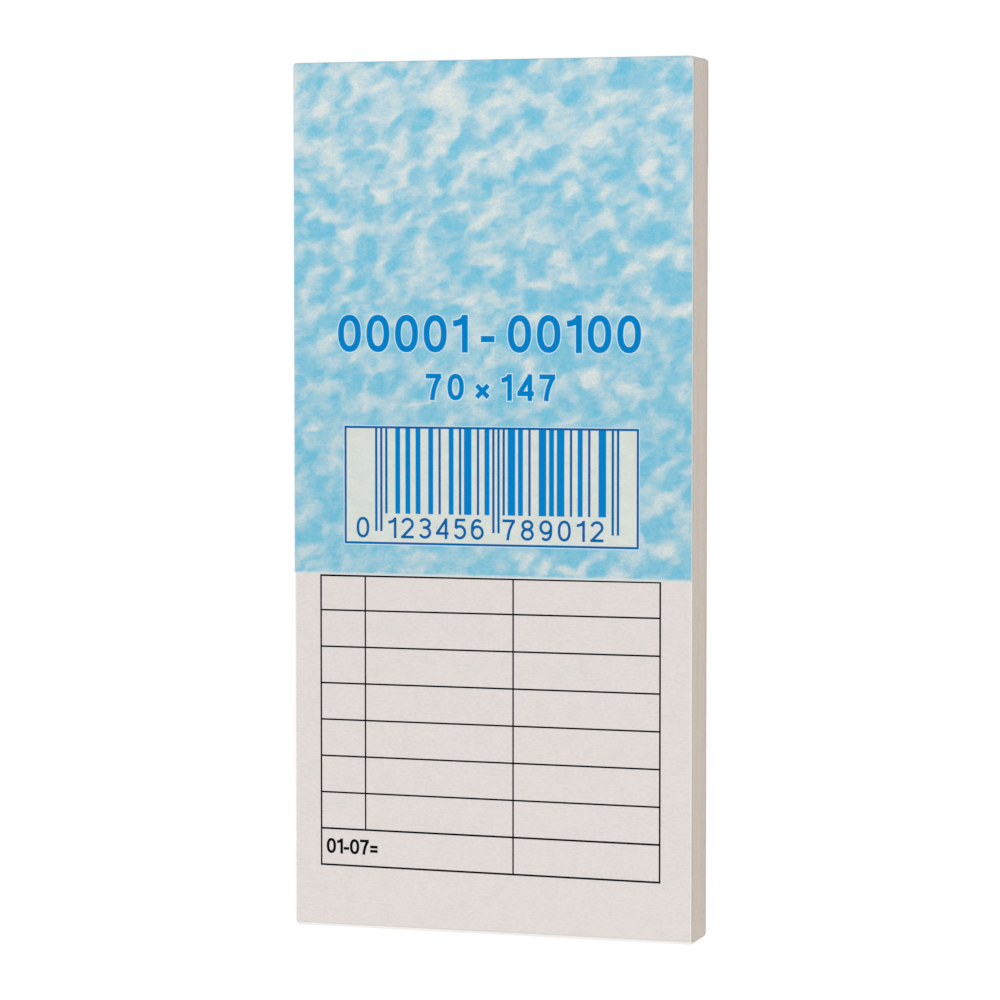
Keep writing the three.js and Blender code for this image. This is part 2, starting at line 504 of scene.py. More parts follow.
class Finish:
    """A material in the making, whose looks are worked out from a place in millimetres.

    The place is the one on the object, or with on_sheet the one in the sheet's own map, which moves
    with the sheet when it bends."""

    def __init__(self, name, roughness, specular, on_sheet=False):
        self.material = bpy.data.materials.new(name)
        self.material.use_nodes = True
        self.tree = self.material.node_tree
        self.surface = self.tree.nodes["Principled BSDF"]
        self.surface.inputs["Roughness"].default_value = roughness
        self.surface.inputs["Specular IOR Level"].default_value = specular
        if on_sheet:
            place = node(self.tree, "ShaderNodeUVMap", uv_map="sheet").outputs["UV"]
        else:
            place = node(self.tree, "ShaderNodeTexCoord").outputs["Object"]
        self.place = vector_maths(self.tree, "SCALE", place, 1 / MM)

    def grain(self, colour, cloud_colour, cloud_mm, cloud_strength, fibre_mm, fibre_strength):
        """The outputs of the paper grain, over a plain colour or over one from another node."""
        return group_node(
            self.tree,
            PAPER_GRAIN,
            Vector=self.place,
            Colour=colour,
            Cloud_Colour=seen(cloud_colour),
            Cloud_Size_mm=cloud_mm,
            Cloud_Strength=cloud_strength,
            Fibre_Length_mm=fibre_mm,
            Fibre_Strength=fibre_strength,
        )

    def wear_and_light(self, colour, wear_and_light_colour, width_mm, raggedness, distance="edge_mm", strength=1.0):
        """A colour changed along the cut edges, or by foot_mm along the foot alone, for scuffing and for
        painted highlight and shade.
        """
        wear_and_light_outputs = group_node(
            self.tree,
            WEAR_AND_LIGHT_EDGE,
            Vector=self.place,
            Distance_mm=node(self.tree, "ShaderNodeAttribute", attribute_name=distance).outputs["Fac"],
            Width_mm=width_mm,
            Raggedness=raggedness,
        )
        # On the newsprint this mask lays painted highlight or painted shade, elsewhere scuffing
        mask = maths(self.tree, "MULTIPLY", wear_and_light_outputs["Mask"], strength)
        return blended(self.tree, mask, colour, seen(wear_and_light_colour))

    def rough(self, source, low, high):
        """Lets the roughness go from low to high as a source goes from 0 to 1."""
        roughness = ramped(self.tree, source, 0.0, 1.0, low, high)
        self.tree.links.new(roughness, self.surface.inputs["Roughness"])

    def finished(self, colour, height, relief_mm):
        """The material, once it has its colour and its relief."""
        self.tree.links.new(colour, self.surface.inputs["Base Color"])
        sockets = {"Height": height, "Distance": relief_mm * MM, "Strength": 1.0}
        bump = node(self.tree, "ShaderNodeBump", sockets).outputs[0]
        self.tree.links.new(bump, self.surface.inputs["Normal"])
        return self.material


# Finishes of the pad
def newsprint_finish(name, highlight_mm, highlight_colour, on_sheet=True, painted_foot_shade=False):
    """Uncoated newsprint, a little pink, with grey-green clouds and a painted highlight along its cut edges.
    Where asked, it also has painted shade along its foot, under its lifted edge."""
    made = Finish(name, 0.92, 0.2, on_sheet)
    grain = made.grain(seen(NEWSPRINT), NEWSPRINT_GREEN, 3.4, 0.45, 0.8, 0.075)
    # Painted highlight along the cut edges
    colour = made.wear_and_light(grain["Colour"], highlight_colour, highlight_mm, 0.3)
    # Painted shade along the top sheet's foot
    if painted_foot_shade:
        colour = made.wear_and_light(colour, TOP_SHEET_PAINTED_FOOT_SHADE, 0.38, 0.6, "foot_mm")
    return made.finished(colour, grain["Height"], 0.004)


def leaf_edge_finish():
    """The side of the stack, where the cut edges of the leaves show."""
    made = Finish("newsprint_cut_edges", 0.95, 0.15)
    tones = {"Pale": seen(LEAF_EDGE), "Dark": seen(LEAF_EDGE_DARK)}
    leaves = group_node(made.tree, CUT_LEAVES, Vector=made.place, **tones)
    return made.finished(leaves["Colour"], leaves["Height"], 0.008)


def marbled_finish(name, worn_mm, wear_and_light_colour, foot_wear_mm=0.0):
    """Cover paper with its marbled print, scuffed at the cuts and along the crease, and on the flap also
    faded along its loose foot."""
    made = Finish(name, 0.62, 0.35, on_sheet=True)
    inks = {"Ink": seen(MARBLE_BLUE), "Paper": seen(MARBLE_PALE)}
    marbling = group_node(made.tree, MARBLED_PRINT, Vector=made.place, **inks)
    grain = made.grain(marbling["Colour"], MARBLE_CLOUD, 2.2, 0.18, 1.0, 0.07)
    colour = made.wear_and_light(grain["Colour"], wear_and_light_colour, worn_mm, 0.5)
    if foot_wear_mm:
        colour = made.wear_and_light(colour, FADED_PRINT, foot_wear_mm, 0.3, "foot_mm")
    made.rough(marbling["Ink Cover"], 0.72, 0.55)
    return made.finished(colour, grain["Height"], 0.004)


def cover_paper_finish(name, colour, cloud_colour):
    """Unprinted side or cut edges of the cover paper."""
    made = Finish(name, 0.85, 0.25, on_sheet=True)
    grain = made.grain(seen(colour), cloud_colour, 3.0, 0.6, 1.2, 0.05)
    return made.finished(grain["Colour"], grain["Height"], 0.005)


def greyboard_finish():
    """Recycled greyboard with dark flecks of old print, paler at its edges from scuffing and from painted
    light on its cut sides.
    """
    made = Finish("greyboard_raw", 0.9, 0.2)
    tree = made.tree
    grain = made.grain(seen(GREYBOARD), GREYBOARD_CLOUD, 5.0, 0.8, 2.4, 0.2)
    cells = node(tree, "ShaderNodeTexVoronoi", {"Vector": made.place, "Scale": 0.8}, feature="F1")
    fleck_size = maths(tree, "MULTIPLY", noise(tree, made.place, 1.4), 0.42)
    outside = maths(tree, "SUBTRACT", cells.outputs["Distance"], fleck_size)
    flecks = ramped(tree, outside, -0.12, 0.0, 0.8, 0.0)
    flecked = blended(tree, flecks, grain["Colour"], seen(GREYBOARD_FLECK))
    # Paler edges: scuffing, and painted light on the board's cut sides
    paler_edges = made.wear_and_light(flecked, GREYBOARD_EDGE_WEAR_AND_LIGHT, 0.5, 0.7, strength=0.8)
    return made.finished(paler_edges, grain["Height"], 0.02)


def glue_finish():
    """Dried padding glue, milky and a little glossy, with shallow brush ripples."""
    made = Finish("padding_glue_film", 0.38, 0.5)
    ripples = noise(made.tree, stretched(made.tree, made.place, (0.25, 1.0, 2.0)), 1.0, detail=3)
    rippled = blended(made.tree, ramped(made.tree, ripples, 0.3, 0.7), seen(GLUE), seen(THIN_GLUE))
    made.rough(ripples, 0.3, 0.5)
    return made.finished(rippled, ripples, 0.03)


def ink_finish(name, colour, starved_colour):
    """Matt offset ink, a little starved where the paper's fibres stand up."""
    made = Finish(name, 0.8, 0.02)
    starved = noise(made.tree, made.place, 0.3, detail=3, roughness=0.7)
    mask = ramped(made.tree, starved, 0.5, 0.8, 0.0, 0.22)
    return made.finished(blended(made.tree, mask, seen(colour), seen(starved_colour)), starved, 0.003)


def panel_finish():
    """The pale ground behind the bars, mottled as the paper below it is."""
    made = Finish("print_panel_ground", 0.8, 0.1)
    grain = made.grain(seen(PANEL_PALE), PANEL_CLOUD, 2.6, 0.8, 0.8, 0.06)
    return made.finished(grain["Colour"], grain["Height"], 0.003)


# The newsprint's pale cut edges are painted highlights, and the top sheet's darker foot is painted shade
NEWSPRINT_TOP = newsprint_finish("newsprint_top_sheet", 0.3, TOP_SHEET_PAINTED_HIGHLIGHT, painted_foot_shade=True)
NEWSPRINT_SHEET = newsprint_finish("newsprint_sheet", 0.45, LOWER_LEAVES_PAINTED_HIGHLIGHT)
NEWSPRINT_STACK = newsprint_finish("newsprint_stack", 0.7, LOWER_LEAVES_PAINTED_HIGHLIGHT, on_sheet=False)
LEAF_EDGES = leaf_edge_finish()
MARBLED = marbled_finish("marbled_cover_print", 0.18, RUBBED_PRINT, foot_wear_mm=0.7)
MARBLED_SPINE = marbled_finish("marbled_spine_print", 0.5, CREASED_PRINT)
COVER_INSIDE = cover_paper_finish("cover_paper_inside", COVER_PAPER, COVER_PAPER_CLOUD)
COVER_CUT = cover_paper_finish("cover_paper_cut", CUT_COVER, CUT_COVER_CLOUD)
COVER_SOAKED = cover_paper_finish("cover_paper_soaked_in_glue", SOAKED_PAPER, SOAKED_PAPER_CLOUD)
BOARD_RAW = greyboard_finish()
GLUE_FILM = glue_finish()
BLUE_INK = ink_finish("print_blue", PRINT_BLUE, STARVED_BLUE)
DARK_BLUE_INK = ink_finish("print_dark_blue", PRINT_DARK_BLUE, STARVED_DARK_BLUE)
BLACK_INK = ink_finish("print_black", PRINT_BLACK, STARVED_BLACK)
PANEL_INK = panel_finish()
OUTLINE_INK = ink_finish("print_pale_outline", OUTLINE_PALE, STARVED_PALE)


# Shape of the resting pad
def lifted(x, y, z):
    """The height of a point of the flat pad, once its top leaves stand a little open at the foot."""
    along = min(max((LEAF_HEAD_Y - y) / (LEAF_HEAD_Y - FOOT_Y), 0.0), 1.0)
    across = x / HALF_WIDTH
    wave = 1 + math.sin(2.3 * across + 5.1 * along) * math.cos(3.1 * across - 2.2 * along + 0.7)
    corner = 0.45 + 0.55 * across * across
    rise = FOOT_LIFT * along ** 3 * corner + WAVE_HEIGHT * along * wave
    looseness = max(1 - max(PAD_TOP - z, 0.0) / LIFT_DEPTH, 0.0)
    return z + rise * looseness ** 2


def settle(mesh, settled=lifted):
    """Lays every point of a flat mesh where it comes to lie on the resting pad."""
    for vertex in mesh.vertices:
        vertex.co.z = settled(*vertex.co)
    mesh.update()


def recess(depth):
    """How far the leaves at a depth below the front stand back from the foot, and from the sides."""
    share = math.exp(-depth / RECESS_DEPTH)
    return FOOT_RECESS * share, SIDE_RECESS * share


def knocked_round(x, y, low, high, foot_radius, head_radius):
    """Where a point of a flat sheet comes to lie, with the sheet's corners knocked round in plan."""
    headward = y >= (low.y + high.y) / 2
    radius = head_radius if headward else foot_radius
    over_x = max(low.x + radius - x, x - (high.x - radius), 0.0)
    over_y = max(low.y + radius - y, y - (high.y - radius), 0.0)
    beyond = math.hypot(over_x, over_y)
    if beyond <= radius or not over_x or not over_y:
        return x, y
    pull = 1 - radius / beyond
    return x - math.copysign(over_x * pull, x), y + over_y * pull * (-1 if headward else 1)


# Meshes of sheets
FRONT, BACK, CUT = range(3)


def shell_mesh(name, points, columns, materials, turned=False):
    """A closed shell between two layers of points, which lie in rows of so many columns.

    Its front, its back and its cut edges take the three materials. It is turned where the rows of
    the front layer run the other way round."""
    back = len(points) // 2
    rows = back // columns
    faces = []
    kinds = []
    for row in range(rows - 1):
        for column in range(columns - 1):
            corner = row * columns + column
            upward = (corner, corner + 1, corner + columns + 1, corner + columns)
            downward = (upward[0], *reversed(upward[1:]))
            front, behind = (downward, upward) if turned else (upward, downward)
            faces += [front, [point + back for point in behind]]
            kinds += [FRONT, BACK]
    foot = list(range(columns))
    right = [row * columns + columns - 1 for row in range(rows)]
    head = [(rows - 1) * columns + column for column in reversed(range(columns))]
    left = [row * columns for row in reversed(range(rows))]
    for rim in (foot, right, head, left):
        for start, end in zip(rim, rim[1:]):
            first, second = (start, end) if turned else (end, start)
            faces.append((first, second, second + back, first + back))
            kinds.append(CUT)
    mesh = bpy.data.meshes.new(name)
    mesh.from_pydata(points, [], faces)
    for material in materials:
        mesh.materials.append(material)
    mesh.polygons.foreach_set("material_index", kinds)
    return mesh


def shade_by_angle(mesh):
    for face in mesh.polygons:
        face.use_smooth = True
    mesh.set_sharp_from_angle(angle=math.radians(SMOOTH_DEGREES))


def map_places(mesh, places, **distances):
    """Gives a mesh the map of its points' places on the sheet, and their distances in millimetres."""
    sheet_map = mesh.uv_layers.new(name="sheet")
    for loop in mesh.loops:
        sheet_map.data[loop.index].uv = places[loop.vertex_index]
    for name, lengths in distances.items():
        attribute = mesh.attributes.new(name, "FLOAT", "POINT")
        attribute.data.foreach_set("value", [length / MM for length in lengths])


def map_flat_sheet(mesh, low, high):
    """Maps a flat sheet, with each point's distance from its nearest cut edge and from its foot."""
    places = [(vertex.co.x, vertex.co.y) for vertex in mesh.vertices]
    from_edge = [max(min(x - low.x, high.x - x, y - low.y, high.y - y), 0.0) for x, y in places]
    from_foot = [y - low.y for _, y in places]
    map_places(mesh, places, edge_mm=from_edge, foot_mm=from_foot)


def grid_lines(low, high, cell, margin, steps=3):
    """Places from low to high, closer together within a margin of both ends."""
    inside = max(1, round((high - low - 2 * margin) / cell))
    near_low = [low + margin * (step / steps) ** 1.5 for step in range(steps)]
    middle = [low + margin + (high - low - 2 * margin) * step / inside for step in range(inside + 1)]
    near_high = [high - margin * (step / steps) ** 1.5 for step in reversed(range(steps))]
    return near_low + middle + near_high


def sheet_mesh(
    name,
    low,
    high,
    materials,
    cell,
    radius=CORNER_RADIUS,
    head_radius=HEAD_RADIUS,
    top_edge=None,
    bottom=None,
    step_at=(),
    chamfer=0.0,
):
    """A closed sheet between two corners of its box, with rounded corners, cut into cells.

    materials are those of its front, its back and its cut edges. top_edge lowers its front along
    the head, and bottom gives the height of its back, which may step up at step_at."""
    margin = max(radius, head_radius, chamfer * 2)
    xs = grid_lines(low.x, high.x, cell, margin)
    ys = sorted([*grid_lines(low.y, high.y, cell, margin, 5), *step_at])
    front = []
    back = []
    for y in ys:
        for x in xs:
            place = knocked_round(x, y, low, high, radius, head_radius)
            outer = x in (xs[0], xs[-1]) or y in (ys[0], ys[-1])
            eased = chamfer if outer else 0.0
            front.append((*place, high.z - eased - (top_edge(y) if top_edge else 0.0)))
            back.append((*place, (bottom(y) if bottom else low.z) + eased))
    mesh = shell_mesh(name, front + back, len(xs), materials)
    map_flat_sheet(mesh, low, high)
    shade_by_angle(mesh)
    return mesh


def placed(name, mesh):
    """An object for a finished mesh, at the origin."""
    piece = bpy.data.objects.new(name, mesh)
    bpy.context.scene.collection.objects.link(piece)
    return piece


def ridden(piece, body, slot, *nodes):
    """Makes a piece move with a body and stand for the nodes named, which are hidden. The slot is not used.
    """
    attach(piece, body)
    if nodes:
        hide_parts(*nodes)


def bent(piece, stands_for):
    """Hides the node that a piece stands for, and bakes the piece's place into its mesh."""
    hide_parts(stands_for)
    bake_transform(piece)


# Cover: flap on the front, and panel over the head with the strip turned in on the back
def cover_flap():
    trim = Vector((SIDE_RECESS / 2, 0, 0))
    low = FLAP_LOW + trim + Vector((0, FLAP_FOOT_TRIM, 0))
    high = FLAP_HIGH - trim

    def rounded(y):
        over = max(y - (high.y - CREASE_RADIUS), 0.0)
        return CREASE_RADIUS - math.sqrt(max(CREASE_RADIUS ** 2 - over ** 2, 0.0))

    mesh = sheet_mesh(
        "cover_flap_sheet",
        low,
        high,
        (MARBLED, COVER_INSIDE, COVER_CUT),
        SHEET_CELL,
        head_radius=COVER_CORNER_RADIUS,
        top_edge=rounded,
    )
    head_wall = [face for face in mesh.polygons if face.material_index == CUT and face.normal.y > 0.7]
    for face in head_wall:
        face.material_index = FRONT
    settle(mesh)
    piece = placed("cover_flap_sheet", mesh)
    bent(piece, "cover_flap")


def wrap_profile():
    """Points of the wrap's outer face in Y and Z, from the foot of its strip round to the crease."""
    strip_head = WRAP_HIGH.y - BACK_CORNER_DEPTH
    spine_foot = WRAP_LOW.z + BACK_CORNER_HEIGHT
    shares = [step / PROFILE_STEPS for step in range(PROFILE_STEPS + 1)]
    points = [(WRAP_LOW.y + (strip_head - WRAP_LOW.y) * share, WRAP_LOW.z) for share in shares]
    for share in shares[1:]:
        turn = math.pi / 2 * share
        y = strip_head + BACK_CORNER_DEPTH * math.sin(turn)
        points.append((y, WRAP_LOW.z + BACK_CORNER_HEIGHT * (1 - math.cos(turn))))
    for share in shares[1:]:
        points.append((WRAP_HIGH.y, spine_foot + (WRAP_HIGH.z - spine_foot) * share))
    return points


def cover_corner(x, y):
    """Where a point at the pad's head comes to lie, with the cover's corners knocked round."""
    return knocked_round(x, y, WRAP_LOW, WRAP_HIGH, 0.0, COVER_CORNER_RADIUS)


def cover_head_wrap():
    outer = wrap_profile()
    inside_y = WRAP_HIGH.y - COVER_THICKNESS
    inside_z = WRAP_LOW.z + COVER_THICKNESS
    inner = [(min(y, inside_y), max(z, inside_z)) for y, z in outer]
    xs = grid_lines(-HALF_WIDTH, HALF_WIDTH, SHEET_CELL, COVER_CORNER_RADIUS, 6)
    points = [(*cover_corner(x, y), z) for y, z in outer + inner for x in xs]
    papers = (MARBLED_SPINE, COVER_INSIDE, COVER_SOAKED)
    mesh = shell_mesh("cover_head_wrap_sheet", points, len(xs), papers, turned=True)
    travelled = [0.0]
    for (y0, z0), (y1, z1) in zip(outer, outer[1:]):
        travelled.append(travelled[-1] + math.hypot(y1 - y0, z1 - z0))
    from_foot = [length for length in travelled * 2 for _ in xs]
    places = []
    from_edge = []
    for (x, _, _), length in zip(points, from_foot):
        places.append((x, WRAP_HIGH.y + travelled[-1] - length))
        from_edge.append(min(HALF_WIDTH - abs(x), length))
    map_places(mesh, places, edge_mm=from_edge)
    shade_by_angle(mesh)
    ridden(placed("cover_head_wrap_sheet", mesh), "root", "marbled_cover", "cover_head_wrap")


# Board and glue
def back_board():
    strip_foot = WRAP_LOW.y - (GLUE_LOW.z - WRAP_LOW.z - COVER_THICKNESS)

    def underside(y):
        return GLUE_LOW.z if y > strip_foot else BOARD_LOW.z

    mesh = sheet_mesh(
        "back_board_sheet",
        BOARD_LOW,
        BOARD_HIGH,
        (BOARD_RAW, BOARD_RAW, BOARD_RAW),
        SHEET_CELL,
        radius=BOARD_CORNER_RADIUS,
        bottom=underside,
        step_at=(strip_foot, strip_foot + BOARD_STEP_LENGTH),
        chamfer=BOARD_CHAMFER,
    )
    ridden(placed("back_board_sheet", mesh), "root", "greyboard", "back_board")


def head_glue():
    """The film of glue, drawn in at its ends as the cover's rounded corners are."""
    films = (GLUE_FILM, GLUE_FILM, GLUE_FILM)
    mesh = sheet_mesh("head_glue_film", GLUE_LOW, GLUE_HIGH, films, SHEET_CELL, radius=HEAD_RADIUS)
    for vertex in mesh.vertices:
        vertex.co.xy = cover_corner(vertex.co.x, vertex.co.y)
    ridden(placed("head_glue_film", mesh), "root", "padding_glue", "head_glue")


# Geometry Nodes helpers
def socket_kind(value):
    """The kind of socket that takes a material, a whole number or a length."""
    if isinstance(value, bpy.types.Material):
        return "NodeSocketMaterial"
    return "NodeSocketInt" if isinstance(value, int) else FLOAT


def geometry_tree(name, values):
    """An empty geometry tree with an input named for each value, and its input and output nodes."""
    tree = bpy.data.node_groups.new(name, "GeometryNodeTree")
    tree.interface.new_socket(name="Geometry", in_out="INPUT", socket_type="NodeSocketGeometry")
    for label, value in values.items():
        tree.interface.new_socket(name=label, in_out="INPUT", socket_type=socket_kind(value))
    tree.interface.new_socket(name="Geometry", in_out="OUTPUT", socket_type="NodeSocketGeometry")
    return tree, tree.nodes.new("NodeGroupInput").outputs, tree.nodes.new("NodeGroupOutput").inputs


def grown(name, tree, values, seed_mesh=None):
    """The plain mesh that a geometry tree makes from a seed mesh and its named values."""
    seed_mesh = seed_mesh or bpy.data.meshes.new(name + "_seed")
    holder = placed(name + "_holder", seed_mesh)
    modifier = holder.modifiers.new(name, "NODES")
    modifier.node_group = tree
    for item in tree.interface.items_tree:
        if item.item_type == "SOCKET" and item.in_out == "INPUT" and item.name in values:
            modifier[item.identifier] = values[item.name]
    holder.update_tag()
    bpy.context.view_layer.update()
    evaluated = holder.evaluated_get(bpy.context.evaluated_depsgraph_get())
    mesh = bpy.data.meshes.new_from_object(evaluated)
    mesh.name = name
    bpy.data.objects.remove(holder)
    return mesh


def combined(tree, x, y, z):
    return node(tree, "ShaderNodeCombineXYZ", {0: x, 1: y, 2: z}).outputs[0]


def block(tree, x, y, z):
    """A block of three sizes, about the origin."""
    return node(tree, "GeometryNodeMeshCube", {"Size": combined(tree, x, y, z)}).outputs[0]


def row_of(tree, shape, count, start, offset):
    """So many instances of a shape, each one an offset on from the last."""
    line = node(tree, "GeometryNodeMeshLine", {"Count": count, "Start Location": start, "Offset": offset})
    return node(
        tree, "GeometryNodeInstanceOnPoints", {"Points": line.outputs[0], "Instance": shape}
    ).outputs[0]


def real(tree, instances, material):
    """Real geometry made of instances, with a material on it."""
    realized = node(tree, "GeometryNodeRealizeInstances", {0: instances}).outputs[0]
    return node(tree, "GeometryNodeSetMaterial", {"Geometry": realized, "Material": material}).outputs[0]


def drift(tree, reach, seed):
    """A random number between minus reach and reach, for each instance."""
    sockets = {2: maths(tree, "MULTIPLY", reach, -1.0), 3: reach, 8: seed}
    return node(tree, "FunctionNodeRandomValue", sockets, data_type="FLOAT").outputs[1]


# Leaves. Each stack sets its own count, height and seed among these inputs of its tree.
LEAF_STACK_VALUES = {
    "Count": 1,
    "Lowest Z": LEAF_LOW.z,
    "Pitch": LEAF_PITCH,
    "Leaf Length": LEAF_HEAD_Y - FOOT_Y,
    "Leaf Width": 2 * HALF_WIDTH,
    "Head Y": LEAF_HEAD_Y,
    "Front Z": FRONT_LEAF_LOW.z,
    "Foot Recess": FOOT_RECESS,
    "Side Recess": SIDE_RECESS,
    "Recess Depth": RECESS_DEPTH,
    "Side Drift": SIDE_DRIFT,
    "Foot Drift": FOOT_DRIFT,
    "Seed": LEAF_SEED,
    "Face Paper": NEWSPRINT_STACK,
    "Edge Paper": LEAF_EDGES,
}


def make_leaf_stack_tree():
    """Piles a leaf up: each one drifts a little, and those near the front stand back at the foot."""
    tree, given, out = geometry_tree("leaf_stack", LEAF_STACK_VALUES)
    start = combined(tree, 0.0, 0.0, given["Lowest Z"])
    leaves = row_of(tree, given["Geometry"], given["Count"], start, combined(tree, 0.0, 0.0, given["Pitch"]))
    number = node(tree, "GeometryNodeInputIndex").outputs[0]
    height = maths(tree, "ADD", given["Lowest Z"], maths(tree, "MULTIPLY", number, given["Pitch"]))
    depth = maths(tree, "SUBTRACT", given["Front Z"], height)
    fading = maths(tree, "MULTIPLY", maths(tree, "DIVIDE", depth, given["Recess Depth"]), -1.0)
    share = maths(tree, "EXPONENT", fading)
    foot_drift = drift(tree, given["Foot Drift"], given["Seed"])
    shortened = maths(tree, "SUBTRACT", maths(tree, "MULTIPLY", given["Foot Recess"], share), foot_drift)
    narrowed = maths(tree, "MULTIPLY", maths(tree, "MULTIPLY", given["Side Recess"], share), 2.0)
    length_share = maths(tree, "SUBTRACT", 1.0, maths(tree, "DIVIDE", shortened, given["Leaf Length"]))
    width_share = maths(tree, "SUBTRACT", 1.0, maths(tree, "DIVIDE", narrowed, given["Leaf Width"]))
    trimmed = node(
        tree,
        "GeometryNodeScaleInstances",
        {
            "Instances": leaves,
            "Scale": combined(tree, width_share, length_share, 1.0),
            "Center": combined(tree, 0.0, given["Head Y"], 0.0),
        },
    ).outputs[0]
    side_drift = drift(tree, given["Side Drift"], maths(tree, "ADD", given["Seed"], 1.0))
    shift = combined(tree, side_drift, 0.0, 0.0)
    drifted = node(
        tree, "GeometryNodeTranslateInstances", {"Instances": trimmed, "Translation": shift}
    ).outputs[0]
    papered = real(tree, drifted, given["Face Paper"])
    upright = maths(tree, "ABSOLUTE", split(tree, node(tree, "GeometryNodeInputNormal").outputs[0])["Z"])
    cut = node(tree, "FunctionNodeCompare", {0: upright, 1: 0.5}, operation="LESS_THAN").outputs[0]
    sockets = {"Geometry": papered, "Selection": cut, "Material": given["Edge Paper"]}
    tree.links.new(node(tree, "GeometryNodeSetMaterial", sockets).outputs[0], out["Geometry"])
    return tree


LEAF_STACK = make_leaf_stack_tree()


def plain_leaf(name, low, high):
    """A leaf of a few faces, for the many that are pressed flat."""
    arc_steps = 3
    rim = []
    for turn in range(4):
        side_x = 1 if turn in (0, 3) else -1
        side_y = 1 if turn in (0, 1) else -1
        radius = HEAD_RADIUS if side_y > 0 else CORNER_RADIUS
        corner_y = (high.y if side_y > 0 else low.y) - side_y * radius
        for step in range(arc_steps + 1):
            angle = math.pi / 2 * (turn + step / arc_steps)
            x = side_x * (high.x - radius) + radius * math.cos(angle)
            rim.append((x, corner_y + radius * math.sin(angle)))
    points = [(x, y, z) for z in (low.z, high.z) for x, y in rim]
    count = len(rim)
    faces = [tuple(reversed(range(count))), tuple(range(count, 2 * count))]
    for start in range(count):
        end = (start + 1) % count
        faces.append((start, end, end + count, start + count))
    mesh = bpy.data.meshes.new(name)
    mesh.from_pydata(points, [], faces)
    for material in (NEWSPRINT_STACK, LEAF_EDGES):
        mesh.materials.append(material)
    map_flat_sheet(mesh, low, high)
    return mesh


def leaf_stack(name, first, last, one_leaf):
    """The leaves from one number to another, counted from the front, piled up from the last one."""
    values = {
        **LEAF_STACK_VALUES,
        "Count": last - first + 1,
        "Lowest Z": LEAF_LOW.z - (last - FIRST_WHOLE_LEAF) * LEAF_PITCH,
        "Seed": LEAF_SEED + first,
    }
    mesh = grown(name, LEAF_STACK, values, one_leaf)
    settle(mesh)
    shade_by_angle(mesh)
    leaf_nodes = [leaf_node(number) for number in range(first, last + 1)]
    replaced = [leaf for leaf in leaf_nodes if leaf in frame["nodes"]]
    if len(replaced) < len(leaf_nodes):
        replaced.append("lower_leaves")
    ridden(placed(name, mesh), "root", "newsprint", *replaced)


def leaf_stacks():
    """All the leaves below the three that are made to tear: the loose ones, and the pressed ones."""
    low = Vector((-HALF_WIDTH, FOOT_Y, 0))
    high = Vector((HALF_WIDTH, LEAF_HEAD_Y, LEAF_THICKNESS))
    papers = (NEWSPRINT_STACK, NEWSPRINT_STACK, LEAF_EDGES)
    loose_leaf = sheet_mesh("loose_leaf", low, high, papers, LEAF_CELL)
    leaf_stack("loose_leaves", FIRST_WHOLE_LEAF, LAST_LOOSE_LEAF, loose_leaf)
    pressed_leaf = plain_leaf("pressed_leaf", low, high)
    leaf_stack("pressed_leaves", LAST_LOOSE_LEAF + 1, LEAF_COUNT, pressed_leaf)


# Inputs of the perforation's tree, which each slip gives the place of its own perforation
PERFORATION_VALUES = {
    "Tie Count": int((2 * HALF_WIDTH - TIE_WIDTH) / TIE_PITCH),
    "Tie Pitch": TIE_PITCH,
    "Tie Width": TIE_WIDTH,
    "Tie Length": TIE_LENGTH,
    "Thickness": LEAF_THICKNESS,
    "Centre Y": 0.0,
    "Centre Z": 0.0,
    "Paper": NEWSPRINT_SHEET,
}


def make_perforation_tree():
    """Adds the paper ties that hold a slip to its stub, one between each two cuts."""
    tree, given, out = geometry_tree("perforation", PERFORATION_VALUES)
    last = maths(tree, "SUBTRACT", given["Tie Count"], 1.0)
    first_x = maths(tree, "MULTIPLY", maths(tree, "MULTIPLY", last, given["Tie Pitch"]), -0.5)
    start = combined(tree, first_x, given["Centre Y"], given["Centre Z"])
    tie = block(tree, given["Tie Width"], given["Tie Length"], given["Thickness"])
    ties = row_of(tree, tie, given["Tie Count"], start, combined(tree, given["Tie Pitch"], 0.0, 0.0))
    joined = node(tree, "GeometryNodeJoinGeometry")
    for part in (real(tree, ties, given["Paper"]), given["Geometry"]):
        tree.links.new(part, joined.inputs[0])
    tree.links.new(joined.outputs[0], out["Geometry"])
    return tree


PERFORATION = make_perforation_tree()


def tearing_leaf(number, slip_body, stub_body):
    """A leaf that tears: its slip with the ties of the perforation, and its glued stub."""
    slip_node = leaf_node(number, "_slip")
    slip_low, slip_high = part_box(slip_node)
    foot_recess, side_recess = recess(PAD_TOP - COVER_THICKNESS - slip_high.z)
    low = slip_low + Vector((side_recess, foot_recess, 0))
    high = slip_high - Vector((side_recess, TIE_LENGTH, 0))
    papers = (NEWSPRINT_TOP if number == 1 else NEWSPRINT_SHEET, NEWSPRINT_SHEET, LEAF_EDGES)
    sheet = sheet_mesh(f"slip_{number}", low, high, papers, SHEET_CELL)
    centre = {"Centre Y": high.y + TIE_LENGTH / 2, "Centre Z": (low.z + high.z) / 2}
    slip_mesh = grown(f"slip_{number}", PERFORATION, {**PERFORATION_VALUES, **centre}, sheet)
    settle(slip_mesh)
    ridden(placed(f"slip_{number}", slip_mesh), slip_body, "newsprint", slip_node)

    stub_node = leaf_node(number, "_stub")
    stub_low, stub_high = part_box(stub_node)
    trim = Vector((side_recess, 0, 0))
    stub_mesh = sheet_mesh(
        f"stub_{number}", stub_low + trim, stub_high - trim, papers, STUB_CELL, radius=STUB_CORNER_RADIUS
    )
    settle(stub_mesh)
    stub = placed(f"stub_{number}", stub_mesh)
    if stub_body == "root":
        ridden(stub, "root", "newsprint", stub_node)
    else:
        bent(stub, stub_node)


